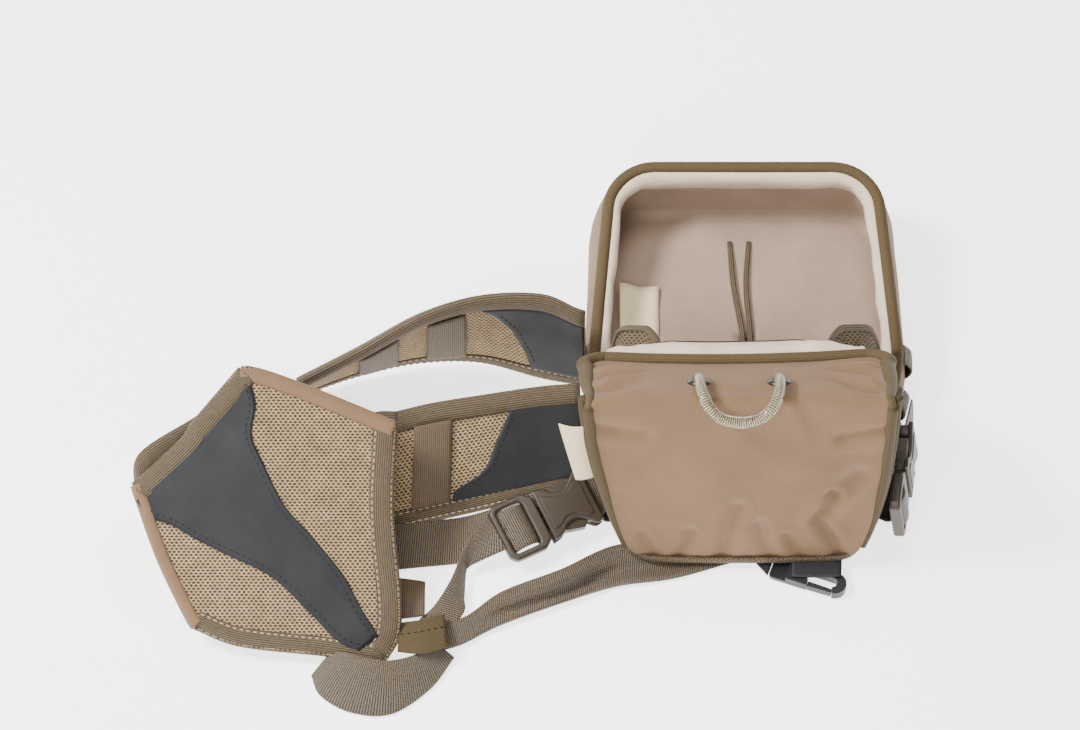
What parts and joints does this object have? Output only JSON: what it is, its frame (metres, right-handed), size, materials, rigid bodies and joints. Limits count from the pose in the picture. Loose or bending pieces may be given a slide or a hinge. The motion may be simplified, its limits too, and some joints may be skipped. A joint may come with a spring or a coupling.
{
  "type": "binocular harness pack",
  "caption": "Chest pack for binoculars, open: back tray, clamshell front with fold-over lid, padded yoke harness, webbings, side-release buckles and a snap hook.",
  "frame": {"origin": "on the back pad's underside, below the middle of the tray", "axes": "+X across the pack to the viewer's right, +Y towards the pack's top, +Z away from the wearer's chest"},
  "size_m": [0.4136, 0.3184, 0.1307],
  "materials": {
    "tan_fabric": "fine woven polyester face",
    "lining": "soft knit lining",
    "binding": "woven grosgrain binding",
    "spacer_mesh": "open 3D spacer mesh",
    "hypalon": "rubberised fabric, matt",
    "webbing": "ribbed nylon webbing",
    "buckle_plastic": "moulded acetal, olive brown",
    "black_plastic": "moulded acetal, black",
    "black_webbing": "black twill webbing",
    "clear_vinyl": "clear vinyl sleeve",
    "steel": "plated metal",
    "label_cloth": "woven label",
    "stiffener": "polyethylene sheet"
  },
  "bodies": {
    "pack": {"back_lining": "lining", "back_pad": "spacer_mesh", "back_shell": "tan_fabric", "buckle_left_female": "buckle_plastic", "buckle_right_female": "buckle_plastic", "care_label": "label_cloth", "centre_tape": "binding", "gusset_left": "tan_fabric", "gusset_right": "tan_fabric", "hinge_piping": "binding", "hook_body": "black_plastic", "hook_web": "black_webbing", "rim_binding": "binding", "side_loops_left": "webbing", "side_loops_right": "webbing", "stiffener_board": "stiffener", "strap_lower": "spacer_mesh", "strap_lower_loop": "webbing", "strap_lower_overlay": "hypalon", "strap_upper": "spacer_mesh", "strap_upper_loops": "webbing", "strap_upper_overlay": "hypalon", "stub_left": "webbing", "stub_right": "webbing", "tip_loop": "webbing", "tray_magnets": "steel", "web_branch": "webbing", "web_left": "webbing", "web_right": "webbing", "web_sleeve": "webbing", "web_tail": "webbing", "wing_left": "hypalon", "wing_right": "hypalon", "yoke_binding": "binding", "yoke_limb_lower": "spacer_mesh", "yoke_limb_upper": "spacer_mesh", "yoke_overlay": "hypalon", "yoke_panel": "spacer_mesh"},
    "front": {"front_shell": "tan_fabric", "front_lining": "lining", "front_piping": "binding", "bottom_band": "spacer_mesh", "side_label": "label_cloth", "fabric_tab": "black_webbing"},
    "lid": {"lid_panel": "tan_fabric", "lid_lining": "lining", "lid_binding": "binding", "lid_magnets": "steel", "grommets": "steel", "lining_apron": "lining", "pull_tube": "clear_vinyl", "pull_cable": "steel"},
    "buckle_left_plug": {"buckle_left_male": "buckle_plastic"},
    "buckle_left_upper": {"buckle_left_prong_upper": "buckle_plastic"},
    "buckle_left_lower": {"buckle_left_prong_lower": "buckle_plastic"},
    "buckle_right_plug": {"buckle_right_male": "buckle_plastic"},
    "buckle_right_upper": {"buckle_right_prong_upper": "buckle_plastic"},
    "buckle_right_lower": {"buckle_right_prong_lower": "buckle_plastic"},
    "hook_gate": {"hook_gate": "black_plastic"}
  },
  "joints": [
    {"name": "front_hinge", "type": "hinge", "parent": "pack", "child": "front", "pos_m": [0, -0.09, 0.008], "axis": [1, 0, 0], "range_deg": [-70, 0], "deforming": ["gusset_left", "gusset_right", "side_label"]},
    {"name": "lid_fold", "type": "hinge", "parent": "front", "child": "lid", "pos_m": [0, -0.11104, 0.12403], "axis": [1, 0, 0], "range_deg": [0, 105], "deforming": ["lining_apron", "pull_tube", "pull_cable"]},
    {"name": "buckle_left_release", "type": "slide", "parent": "pack", "child": "buckle_left_plug", "axis": [-0.8829, -0.4695, 0], "range_m": [0, 0.022], "deforming": ["web_left", "web_branch"]},
    {"name": "buckle_left_squeeze_upper", "type": "hinge", "parent": "buckle_left_plug", "child": "buckle_left_upper", "pos_m": [-0.11187, -0.10287, 0.01594], "axis": [0.1294, -0.2434, 0.9613], "range_deg": [-6, 0], "stiffness_Nm_per_rad": 0.02},
    {"name": "buckle_left_squeeze_lower", "type": "hinge", "parent": "buckle_left_plug", "child": "buckle_left_lower", "pos_m": [-0.10419, -0.1173, 0.01126], "axis": [0.1294, -0.2434, 0.9613], "range_deg": [0, 6], "stiffness_Nm_per_rad": 0.02},
    {"name": "buckle_right_release", "type": "slide", "parent": "pack", "child": "buckle_right_plug", "axis": [-0.1392, -0.9903, 0], "range_m": [0, 0.022], "deforming": ["web_right"]},
    {"name": "buckle_right_squeeze_upper", "type": "hinge", "parent": "buckle_right_plug", "child": "buckle_right_upper", "pos_m": [0.07974, -0.09343, 0.03192], "axis": [0.9806, -0.1378, 0.1392], "range_deg": [-6, 0], "stiffness_Nm_per_rad": 0.02},
    {"name": "buckle_right_squeeze_lower", "type": "hinge", "parent": "buckle_right_plug", "child": "buckle_right_lower", "pos_m": [0.08209, -0.09376, 0.01508], "axis": [0.9806, -0.1378, 0.1392], "range_deg": [0, 6], "stiffness_Nm_per_rad": 0.02},
    {"name": "hook_gate_press", "type": "hinge", "parent": "pack", "child": "hook_gate", "pos_m": [0.04275, -0.15009, 0.003], "axis": [0, 0, 1], "range_deg": [-20, 0], "stiffness_Nm_per_rad": 0.01}
  ],
  "couplings": [
    {"joint": "lid_fold", "follows": "front_hinge", "ratio": -1.5}
  ]
}
